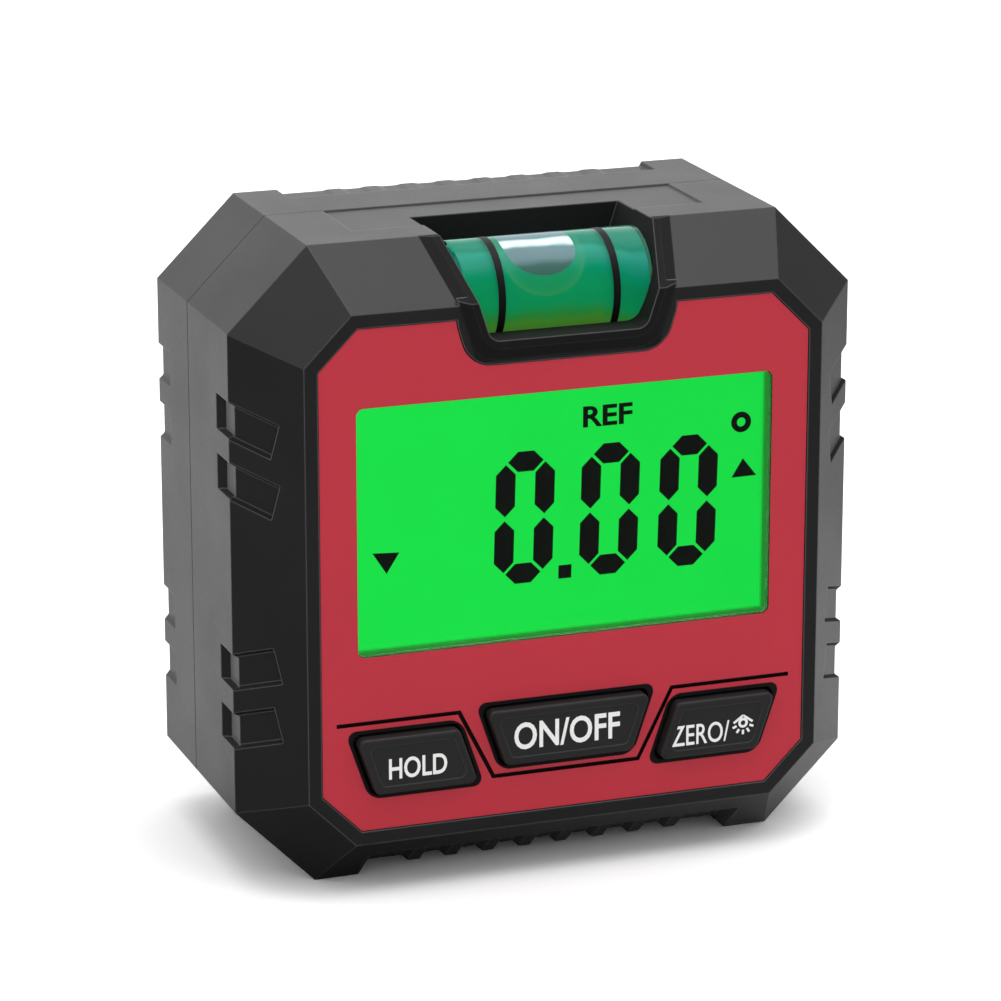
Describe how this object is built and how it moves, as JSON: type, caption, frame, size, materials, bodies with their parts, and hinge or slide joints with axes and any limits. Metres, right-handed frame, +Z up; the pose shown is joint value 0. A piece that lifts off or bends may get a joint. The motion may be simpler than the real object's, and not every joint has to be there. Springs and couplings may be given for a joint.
{
  "type": "digital angle gauge",
  "caption": "Pocket digital angle gauge: square bevelled black case with a red face, green-lit angle display, push buttons and a spirit vial let into the top edge, for measuring tilt.",
  "frame": {"origin": "centre of the base on the surface it stands on", "axes": "X to the right of the face, Y to the back, Z up; the display faces -Y"},
  "size_m": [0.06, 0.033, 0.06],
  "materials": {
    "case_black": "fine satin",
    "panel_red": "satin",
    "clear_lens": "clear acrylic",
    "lcd_green": "green backlit display",
    "guide_clear": "diffusing",
    "led_white": "gloss",
    "zebra_rubber": "matt",
    "board_green": "solder mask",
    "chip_black": "matt",
    "switch_black": "matt",
    "plunger_ivory": "matt",
    "button_rubber": "satin",
    "vial_clear": "clear acrylic",
    "vial_liquid": "dyed spirit",
    "ring_black": "printed",
    "magnet_nickel": "nickel plated",
    "cell_jacket": "gloss sleeve",
    "contact_nickel": "nickel plated",
    "screw_steel": "zinc plated"
  },
  "bodies": {
    "case": {"front_housing": "case_black", "rear_housing": "case_black", "face_panel": "panel_red", "display_window": "clear_lens", "lcd_glass": "lcd_green", "light_guide": "guide_clear", "backlight_leds": "led_white", "zebra_strip": "zebra_rubber", "main_board": "board_green", "controller_chip": "chip_black", "tilt_sensor": "chip_black", "switch_bodies": "switch_black", "vial_tube": "vial_clear", "vial_liquid": "vial_liquid", "vial_plug": "vial_clear", "vial_rings": "ring_black", "base_magnets": "magnet_nickel", "battery_cells": "cell_jacket", "contact_bridge": "contact_nickel", "contact_tabs": "contact_nickel", "housing_screws": "screw_steel", "board_screws": "screw_steel"},
    "hold": {"hold_button": "button_rubber", "hold_plunger": "plunger_ivory"},
    "power": {"power_button": "button_rubber", "power_plunger": "plunger_ivory"},
    "zero": {"zero_button": "button_rubber", "zero_plunger": "plunger_ivory"},
    "door": {"battery_door": "case_black"}
  },
  "joints": [
    {"name": "hold_press", "type": "slide", "parent": "case", "child": "hold", "axis": [0, 1, 0], "range_m": [0, 0.0005], "stiffness_N_per_m": 800, "springref_m": -0.0005},
    {"name": "power_press", "type": "slide", "parent": "case", "child": "power", "axis": [0, 1, 0], "range_m": [0, 0.0005], "stiffness_N_per_m": 800, "springref_m": -0.0005},
    {"name": "zero_press", "type": "slide", "parent": "case", "child": "zero", "axis": [0, 1, 0], "range_m": [0, 0.0005], "stiffness_N_per_m": 800, "springref_m": -0.0005},
    {"name": "door_off", "type": "slide", "parent": "case", "child": "door", "axis": [0, 1, 0], "range_m": [0, 0.02]}
  ]
}
